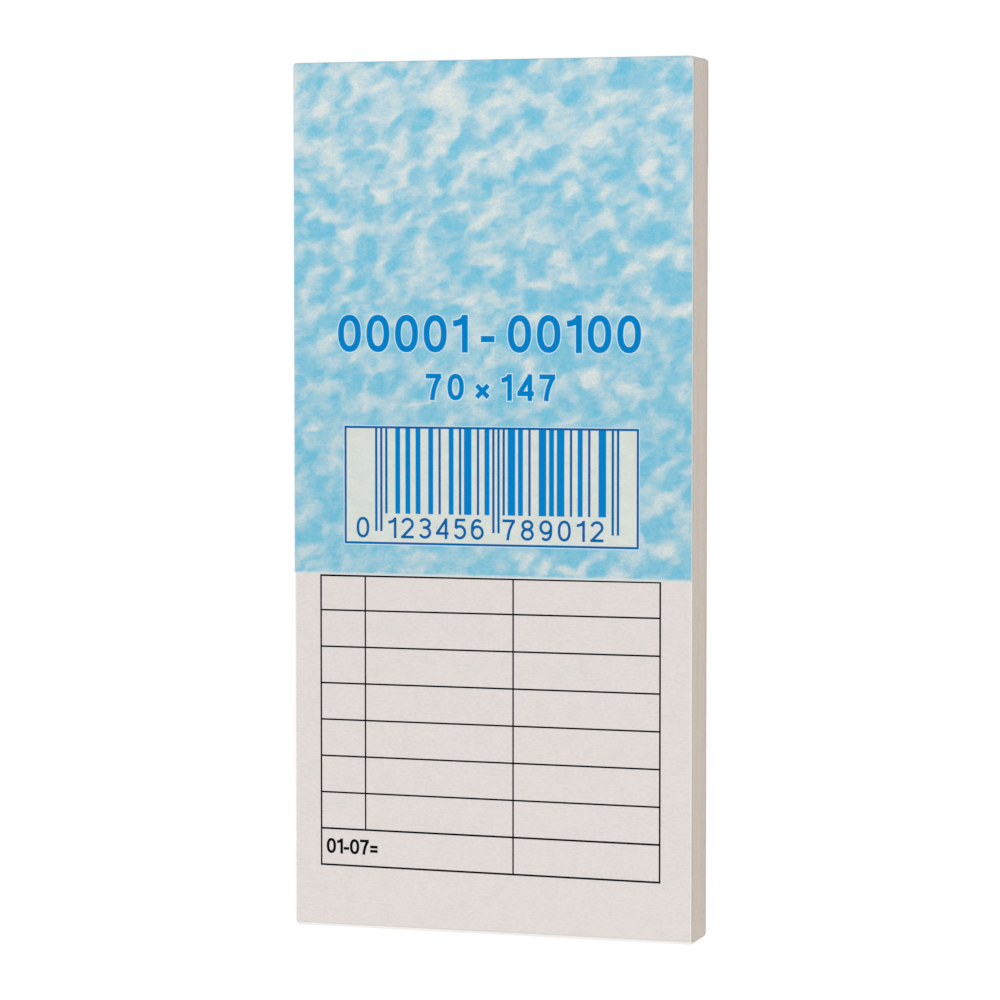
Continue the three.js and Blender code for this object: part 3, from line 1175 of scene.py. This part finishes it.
# Print
def cut_into_cells(mesh, cell):
    """Cuts a mesh along a square grid, so that it can follow a sheet that isn't quite flat."""
    work = bmesh.new()
    work.from_mesh(mesh)
    for axis in (0, 1):
        places = [vertex.co[axis] for vertex in work.verts]
        first = math.ceil(min(places) / cell)
        last = math.floor(max(places) / cell)
        for step in range(first, last + 1):
            point = Vector((0, 0, 0))
            point[axis] = step * cell
            normal = Vector((0, 0, 0))
            normal[axis] = 1
            geometry = [*work.verts, *work.edges, *work.faces]
            bmesh.ops.bisect_plane(work, geom=geometry, plane_co=point, plane_no=normal, dist=1e-8)
    work.to_mesh(mesh)
    work.free()


def printed(name, mesh, surface_z, body, slot, layer=0):
    """Lays flat ink, drawn at Z = 0, on a sheet and makes it ride with the sheet's body."""
    above = INK_CLEARANCE + layer * INK_LAYER_PITCH

    def on_sheet(x, y, z):
        return lifted(x, y, surface_z) + above + z

    settle(mesh, on_sheet)
    ridden(placed(name, mesh), body, slot)


def united(outlines, cell):
    """Points and faces of the area inside outlines that may overlap, cut along a square grid."""
    points = []
    faces = []
    for outline in outlines:
        faces.append(list(range(len(points), len(points) + len(outline))))
        points += [Vector(place) for place in outline]
    lows = [min(point[axis] for point in points) for axis in (0, 1)]
    highs = [max(point[axis] for point in points) for axis in (0, 1)]
    edges = []
    for axis in (0, 1):
        for step in range(math.ceil(lows[axis] / cell), math.floor(highs[axis] / cell) + 1):
            edges.append((len(points), len(points) + 1))
            for end in (lows, highs):
                point = Vector(end)
                point[axis] = step * cell
                points.append(point)
    cut_points, _, cut_faces, _, _, sources = delaunay_2d_cdt(points, edges, faces, 1, 1e-5)
    return cut_points, [face for face, source in zip(cut_faces, sources) if source]


def ink_mesh(name, outlines, material):
    """Flat ink inside a set of outlines, which may overlap, cut into cells and closed all round."""
    in_mm = [[(x / MM, y / MM) for x, y in outline] for outline in outlines]
    cut_points, inked = united(in_mm, PRINT_CELL / MM)
    used = sorted({corner for face in inked for corner in face})
    order = {corner: place for place, corner in enumerate(used)}
    count = len(used)
    corners = [(cut_points[corner].x * MM, cut_points[corner].y * MM, INK_THICKNESS) for corner in used]
    corners += [(x, y, 0.0) for x, y, _ in corners]
    closed = []
    borders = {}
    for face in inked:
        top = [order[corner] for corner in face]
        closed += [top, [corner + count for corner in reversed(top)]]
        for start, end in zip(top, top[1:] + top[:1]):
            if (end, start) in borders:
                del borders[end, start]
            else:
                borders[start, end] = True
    closed += [(start, start + count, end + count, end) for start, end in borders]
    mesh = bpy.data.meshes.new(name)
    mesh.from_pydata(corners, [], closed)
    mesh.materials.append(material)
    return mesh


def bar(left, foot, right, head):
    return [(left, foot), (right, foot), (right, head), (left, head)]


def arc(centre_x, centre_y, radius_x, radius_y, start, stop, power=2.0):
    """Points on an oval between two angles in degrees. A power above 2 makes it squarer."""
    steps = max(4, round(abs(stop - start) / 12))
    points = []
    for step in range(steps + 1):
        angle = math.radians(start + (stop - start) * step / steps)
        across = math.copysign(abs(math.cos(angle)) ** (2 / power), math.cos(angle))
        up = math.copysign(abs(math.sin(angle)) ** (2 / power), math.sin(angle))
        points.append((centre_x + radius_x * across, centre_y + radius_y * up))
    return points


def figure_lines(figure, weight):
    """The middle lines of a plain figure's strokes, in a box one cap height tall."""
    width = NARROW_FIGURES.get(figure, FIGURE_WIDTH)
    low = weight / 2
    high = 1 - low
    left = low
    right = width - low
    middle = width / 2
    across = middle - left
    waist = 0.535
    upper = (high - waist) / 2
    lower = (waist - low) / 2
    bowl = (0.63 - low) / 2
    if figure == "0":
        return [arc(middle, 0.5, across, 0.5 - low, 0, 360, 2.3)]
    if figure == "1":
        return [[(right, 0), (right, 1)], arc(0.02, 0.99, right - 0.02, 0.22, -90, -6)]
    if figure == "2":
        top = (high - 0.44) / 2
        hook = arc(middle, high - top, across, top, 168, -36)
        return [hook + [(left + 0.01, low)], [(0, low), (width, low)]]
    if figure == "3":
        top = arc(middle, high - upper, across * 0.94, upper, 158, -90)
        foot = arc(middle, low + lower, across, lower, 90, -158)
        return [top, foot, [(middle - 0.1, waist), (middle + 0.02, waist)]]
    if figure == "4":
        stem = right - 0.07
        return [[(stem, 0), (stem, 1)], [(0, 0.27), (width, 0.27)], [(stem, high), (left * 0.8, 0.27)]]
    if figure == "5":
        foot = arc(middle, low + bowl, across, bowl, 140, -156)
        return [[(0.11, high), (right + 0.02, high)], [(0.15, high), foot[0]], foot]
    if figure == "6":
        stem = arc(middle, 0.5, across, 0.5 - low, 50, 190, 2.3)
        return [stem, arc(middle, low + bowl, across, bowl, 0, 360)]
    if figure == "7":
        slope = []
        for step in range(9):
            share = step / 8
            x = (1 - share) ** 2 * right + 2 * share * (1 - share) * 0.46 * width + share ** 2 * 0.40 * width
            slope.append((x, high * (1 - share) ** 2 + 2 * share * (1 - share) * 0.56))
        return [[(0, high), (right + low * 0.6, high)], slope]
    if figure == "8":
        top = arc(middle, high - upper, across * 0.9, upper, 0, 360)
        return [top, arc(middle, low + lower, across, lower, 0, 360)]
    if figure == "9":
        return [[(width - x, 1 - y) for x, y in line] for line in figure_lines("6", weight)]
    if figure == "-":
        return [[(0, 0.36), (width, 0.36)]]
    if figure == "=":
        return [[(0, 0.26), (width, 0.26)], [(0, 0.54), (width, 0.54)]]
    if figure == "x":
        return [[(0.02, 0.12), (width - 0.02, 0.58)], [(0.02, 0.58), (width - 0.02, 0.12)]]
    return []


def stroke(line, weight, spread):
    """Outlines of one stroke along a line, all of it made wider and longer by spread."""
    points = [Vector(point) for point in line]
    closed = (points[0] - points[-1]).length < 1e-6
    half = weight / 2 + spread
    if not closed:
        points[0] += (points[0] - points[1]).normalized() * spread
        points[-1] += (points[-1] - points[-2]).normalized() * spread
    ways = [(after - before).normalized() for before, after in zip(points, points[1:])]
    sides = []
    for step, point in enumerate(points):
        before = ways[step - 1] if step or closed else ways[0]
        after = ways[step] if step < len(ways) else (ways[0] if closed else ways[-1])
        along = (before + after).normalized()
        reach = half / max(along.dot(after), 0.6)
        across = Vector((-along.y, along.x)) * reach
        sides.append((point + across, point - across))
    return [[start[1], end[1], end[0], start[0]] for start, end in zip(sides, sides[1:])]


def figure_outlines(row, spread=0.0):
    """Outlines of a row of figures, spaced to fill its width. Spread, in metres, makes them bolder."""
    size = row.cap_height
    widths = [NARROW_FIGURES.get(figure, FIGURE_WIDTH) for figure in row.figures]
    several = len(row.figures) > 1
    gap = (row.width / size - sum(widths)) / (len(row.figures) - 1) if several else 0.0
    start_x = row.centre[0] - (row.width if several else widths[0] * size) / 2
    foot_y = row.centre[1] - size / 2
    outlines = []
    cursor = 0.0
    for figure, width in zip(row.figures, widths):
        for line in figure_lines(figure, row.weight):
            for outline in stroke(line, row.weight, spread / size):
                outlines.append([(start_x + (cursor + x) * size, foot_y + y * size) for x, y in outline])
        cursor += width + gap
    return outlines


TABLE_VALUES = {
    "Left": TABLE_LEFT,
    "Right": TABLE_RIGHT,
    "Foot": TABLE_FOOT_Y,
    "Row Pitch": TABLE_ROW,
    "Rows": TABLE_ROWS,
    "Head Row": TABLE_HEAD_ROW,
    "Heavy Line": TABLE_HEAVY_LINE,
    "Line": TABLE_LINE,
    "Fine Line": TABLE_FINE_LINE,
    "Ink Depth": INK_THICKNESS,
    "First Column": FIRST_COLUMN_X,
    "Second Column": SECOND_COLUMN_X,
    "Ink": BLACK_INK,
}


def make_ruled_table_tree():
    """A ruled table: its head, its foot and the sum row in a heavy line, its columns in a fine one.
    The first column stops at the sum row."""
    tree, given, out = geometry_tree("ruled_table", TABLE_VALUES)
    middle_x = maths(tree, "MULTIPLY", maths(tree, "ADD", given["Left"], given["Right"]), 0.5)
    width = maths(tree, "ADD", maths(tree, "SUBTRACT", given["Right"], given["Left"]), given["Line"])
    ink_z = maths(tree, "MULTIPLY", given["Ink Depth"], 0.5)
    third_rule = maths(tree, "MULTIPLY_ADD", given["Row Pitch"], 2.0, given["Foot"])
    height = maths(tree, "MULTIPLY_ADD", given["Rows"], given["Row Pitch"], given["Head Row"])
    head = maths(tree, "ADD", given["Foot"], height)
    up_a_row = combined(tree, 0.0, given["Row Pitch"], 0.0)
    joined = node(tree, "GeometryNodeJoinGeometry")
    rule_rows = (
        (given["Heavy Line"], 1, head),
        (given["Heavy Line"], 2, given["Foot"]),
        (given["Line"], maths(tree, "SUBTRACT", given["Rows"], 1.0), third_rule),
    )
    for line, count, foot in rule_rows:
        rule = block(tree, width, line, given["Ink Depth"])
        rules = row_of(tree, rule, count, combined(tree, middle_x, foot, ink_z), up_a_row)
        tree.links.new(rules, joined.inputs[0])
    sum_row_head = maths(tree, "ADD", given["Foot"], given["Row Pitch"])
    uprights = (
        (given["Left"], given["Line"], height, given["Foot"]),
        (given["Right"], given["Line"], height, given["Foot"]),
        (
            given["First Column"],
            given["Fine Line"],
            maths(tree, "SUBTRACT", height, given["Row Pitch"]),
            sum_row_head,
        ),
        (given["Second Column"], given["Fine Line"], height, given["Foot"]),
    )
    for x, line, length, foot in uprights:
        middle_y = maths(tree, "ADD", foot, maths(tree, "MULTIPLY", length, 0.5))
        place = combined(tree, x, middle_y, ink_z)
        sockets = {"Geometry": block(tree, line, length, given["Ink Depth"]), "Translation": place}
        tree.links.new(node(tree, "GeometryNodeTransform", sockets).outputs[0], joined.inputs[0])
    tree.links.new(real(tree, joined.outputs[0], given["Ink"]), out["Geometry"])
    return tree


RULED_TABLE = make_ruled_table_tree()


def set_askew(mesh):
    """Turns print on a slip a little out of square, most at the table's foot, as the press left it."""
    table_length = TABLE_ROWS * TABLE_ROW + TABLE_HEAD_ROW
    for vertex in mesh.vertices:
        share = max(1 - (vertex.co.y - TABLE_FOOT_Y) / table_length, 0.0)
        vertex.co.y -= vertex.co.x * (TABLE_HEAD_SKEW + (TABLE_FOOT_SKEW - TABLE_HEAD_SKEW) * share)
    mesh.update()


def slip_print(number, surface_z, body):
    """The print of one slip: its table, the sum row's figures, and under the cover its number."""
    table = grown(f"table_{number}", RULED_TABLE, TABLE_VALUES)
    cut_into_cells(table, PRINT_CELL)
    header = figure_outlines(SLIP_FIGURES._replace(figures=f"{number:04d}"))
    for row in range(HEADER_ROWS):
        line_y = HEADER_FOOT_Y + row * HEADER_ROW
        header.append(bar(TABLE_LEFT, line_y, TABLE_RIGHT, line_y + TABLE_LINE))
    prints = {
        f"table_{number}": table,
        f"sum_row_{number}": ink_mesh(f"sum_row_{number}", figure_outlines(SUM_FIGURES), BLACK_INK),
        f"header_{number}": ink_mesh(f"header_{number}", header, BLACK_INK),
    }
    for name, mesh in prints.items():
        set_askew(mesh)
        printed(name, mesh, surface_z, body, "newsprint")


def panel_bars(head):
    """Thin and thick bars of made-up widths, with longer pairs at both ends and in the middle."""
    drawn = random.Random(BAR_SEED)
    thin = []
    thick = []

    def add_bar(row, cursor, modules, foot):
        x = BARS_LEFT + cursor * BAR_MODULE
        row.append(bar(x, foot, x + BAR_MODULE * (modules - 1 + INKED_SHARE), head))

    def add_pair(cursor):
        for step in (0, 2):
            add_bar(thin, cursor + step, 1, LONG_BAR_FOOT_Y)

    add_pair(0)
    cursor = PAIR_MODULES
    for _ in range(2):
        end = cursor + HALF_MODULES
        while cursor < end - 1:
            modules = min(drawn.choice(BAR_WIDTHS), end - cursor)
            add_bar(thin if modules == 1 else thick, cursor, modules, SHORT_BAR_FOOT_Y)
            cursor += modules + drawn.choice(BAR_GAPS)
        add_pair(end)
        cursor = end + PAIR_MODULES
    return thin, thick


def cover_print():
    """Figures and a panel of bars on the cover, in the colours and at the scale of its print."""

    def laid(name, outlines, ink, layer):
        printed(name, ink_mesh(name, outlines, ink), FLAP_HIGH.z, "cover", "marbled_cover", layer)

    for name, row in (("cover_count", COUNT_FIGURES), ("cover_size", SIZE_FIGURES)):
        laid(name + "_outline", figure_outlines(row, FIGURE_OUTLINE), OUTLINE_INK, 0)
        laid(name, figure_outlines(row), BLUE_INK, 1)
    left, foot, right, head = (-PANEL_HALF_WIDTH, PANEL_FOOT_Y, PANEL_HALF_WIDTH, PANEL_HEAD_Y)
    rim = PANEL_OUTLINE
    half = PANEL_LINE / 2
    laid("panel_outline", [bar(left - rim, foot - rim, right + rim, head + rim)], OUTLINE_INK, 0)
    laid("panel_ground", [bar(left, foot, right, head)], PANEL_INK, 1)
    frame_lines = [
        bar(left - half, foot - half, right + half, foot + half),
        bar(left - half, head - half, right + half, head + half),
        bar(left - half, foot - half, left + half, head + half),
        bar(right - half, foot - half, right + half, head + half),
    ]
    laid("panel_frame", frame_lines, DARK_BLUE_INK, 2)
    thin, thick = panel_bars(head - half)
    laid("panel_thin_bars", thin, DARK_BLUE_INK, 2)
    laid("panel_thick_bars", thick, BLUE_INK, 2)
    figures = [outline for row in PANEL_FIGURES for outline in figure_outlines(row)]
    laid("panel_figures", figures, DARK_BLUE_INK, 2)


# Studio
def soft_box(name, place, size, power):
    """A round lamp that is aimed at the pad."""
    light = bpy.data.lights.new(name, "AREA")
    light.shape = "DISK"
    light.size = size
    light.energy = power
    lamp = bpy.data.objects.new(name, light)
    lamp.location = place
    lamp.rotation_mode = "QUATERNION"
    lamp.rotation_quaternion = (-Vector(place)).to_track_quat("-Z", "Y")
    bpy.context.scene.collection.objects.link(lamp)


def straight_rays(tree, path):
    """1 for rays that come straight from the camera or by way of gloss or glass, and 0 for light."""
    seen_straight = maths(tree, "MAXIMUM", path["Is Camera Ray"], path["Is Glossy Ray"])
    return maths(tree, "MAXIMUM", seen_straight, path["Is Transmission Ray"])


def floor():
    """A plain white floor that keeps the pad's soft shadow. Seen from below it is clear, and light
    that would be caught between it and the board passes through."""
    reach = FLOOR_REACH
    corners = [(x, y, FLOOR_LEVEL) for x, y in bar(-reach, -reach, reach, reach)]
    mesh = bpy.data.meshes.new("floor")
    mesh.from_pydata(corners, [], [(0, 1, 2, 3)])
    material = bpy.data.materials.new("floor_white")
    material.use_nodes = True
    tree = material.node_tree
    tree.nodes.remove(tree.nodes["Principled BSDF"])
    path = node(tree, "ShaderNodeLightPath").outputs
    lit = node(tree, "ShaderNodeBsdfDiffuse", {"Color": FLOOR_LIT}).outputs[0]
    shadowed = node(tree, "ShaderNodeBsdfDiffuse", {"Color": FLOOR_SHADOW}).outputs[0]
    glow = node(tree, "ShaderNodeEmission", {"Color": WHITE, "Strength": FLOOR_GLOW}).outputs[0]
    shown = node(tree, "ShaderNodeAddShader", {0: shadowed, 1: glow}).outputs[0]
    opaque = node(tree, "ShaderNodeMixShader", {0: straight_rays(tree, path), 1: lit, 2: shown}).outputs[0]
    from_below = node(tree, "ShaderNodeNewGeometry").outputs["Backfacing"]
    caught = maths(tree, "LESS_THAN", path["Ray Length"], TRAPPED_RAY)
    passing = maths(tree, "MAXIMUM", from_below, caught)
    clear = node(tree, "ShaderNodeBsdfTransparent").outputs[0]
    surface = node(tree, "ShaderNodeMixShader", {0: passing, 1: opaque, 2: clear}).outputs[0]
    tree.links.new(surface, tree.nodes["Material Output"].inputs["Surface"])
    mesh.materials.append(material)
    placed("floor", mesh)


def world():
    """An even white sky, at full strength where it is looked at."""
    made = bpy.data.worlds.new("studio")
    made.use_nodes = True
    tree = made.node_tree
    backdrop = tree.nodes["Background"]
    straight = straight_rays(tree, node(tree, "ShaderNodeLightPath").outputs)
    strength = ramped(tree, straight, 0.0, 1.0, SKY_STRENGTH, 1.0)
    backdrop.inputs["Color"].default_value = WHITE
    tree.links.new(strength, backdrop.inputs["Strength"])
    bpy.context.scene.world = made


def camera():
    """The photograph's view: nearly square on to the front, a little from the right and the head."""
    data = bpy.data.cameras.new("camera")
    data.sensor_width = SENSOR_mm
    data.lens = LENS_mm
    data.clip_start = 0.01
    data.clip_end = 10
    made = bpy.data.objects.new("camera", data)
    ahead = (CAMERA_TARGET - CAMERA_PLACE).normalized()
    right = ahead.cross(Vector((0, 1, 0))).normalized()
    up = right.cross(ahead)
    turn = Matrix((right, up, -ahead)).transposed()
    made.matrix_world = Matrix.Translation(CAMERA_PLACE) @ turn.to_4x4()
    bpy.context.scene.collection.objects.link(made)
    bpy.context.scene.camera = made


camera()
world()
floor()
for lamp in LAMPS:
    soft_box(*lamp)

cover_flap()
cover_head_wrap()
back_board()
head_glue()
leaf_stacks()
for tearing in TEARING_LEAVES:
    tearing_leaf(*tearing)
for leaf_number, slip_body, _ in TEARING_LEAVES:
    slip_print(leaf_number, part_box(leaf_node(leaf_number, "_slip"))[1].z, slip_body)
slip_print(FIRST_WHOLE_LEAF, LEAF_HIGH.z, "root")
cover_print()

bpy.context.scene.view_settings.view_transform = "Standard"
